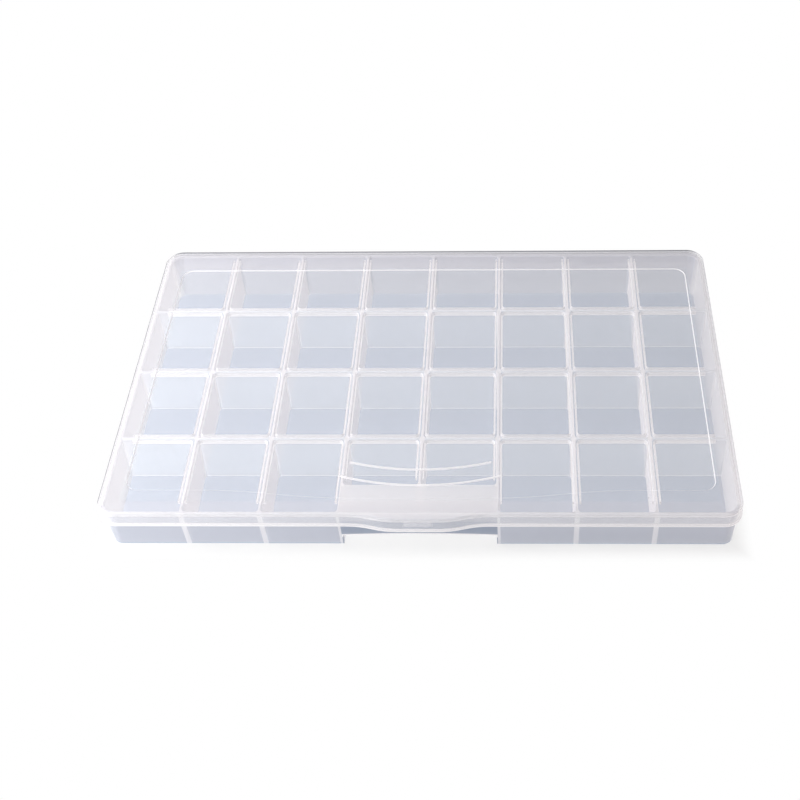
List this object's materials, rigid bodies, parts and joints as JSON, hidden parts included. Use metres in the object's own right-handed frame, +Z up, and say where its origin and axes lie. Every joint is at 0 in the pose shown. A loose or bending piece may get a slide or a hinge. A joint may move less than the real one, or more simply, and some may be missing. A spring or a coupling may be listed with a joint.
{
  "type": "bead storage box",
  "caption": "Low rectangular storage box for beads: a tray of small fixed compartments under a hinged see-through lid with a thumb tab and a snap catch.",
  "frame": {"origin": "on the table, under the middle of the closed box's bounding box", "axes": "+X right along the long side, +Y to the hinge side at the back, +Z up"},
  "size_m": [0.349, 0.219, 0.035],
  "materials": {
    "tray_plastic": "translucent, satin",
    "lid_plastic": "translucent, satin"
  },
  "bodies": {
    "tray_body": {"base_tray": "tray_plastic"},
    "lid_body": {"lid": "lid_plastic"}
  },
  "joints": [
    {"name": "lid_hinge", "type": "hinge", "parent": "tray_body", "child": "lid_body", "pos_m": [0, 0.1072, 0.024], "axis": [-1, 0, 0], "range_deg": [0, 180]}
  ]
}
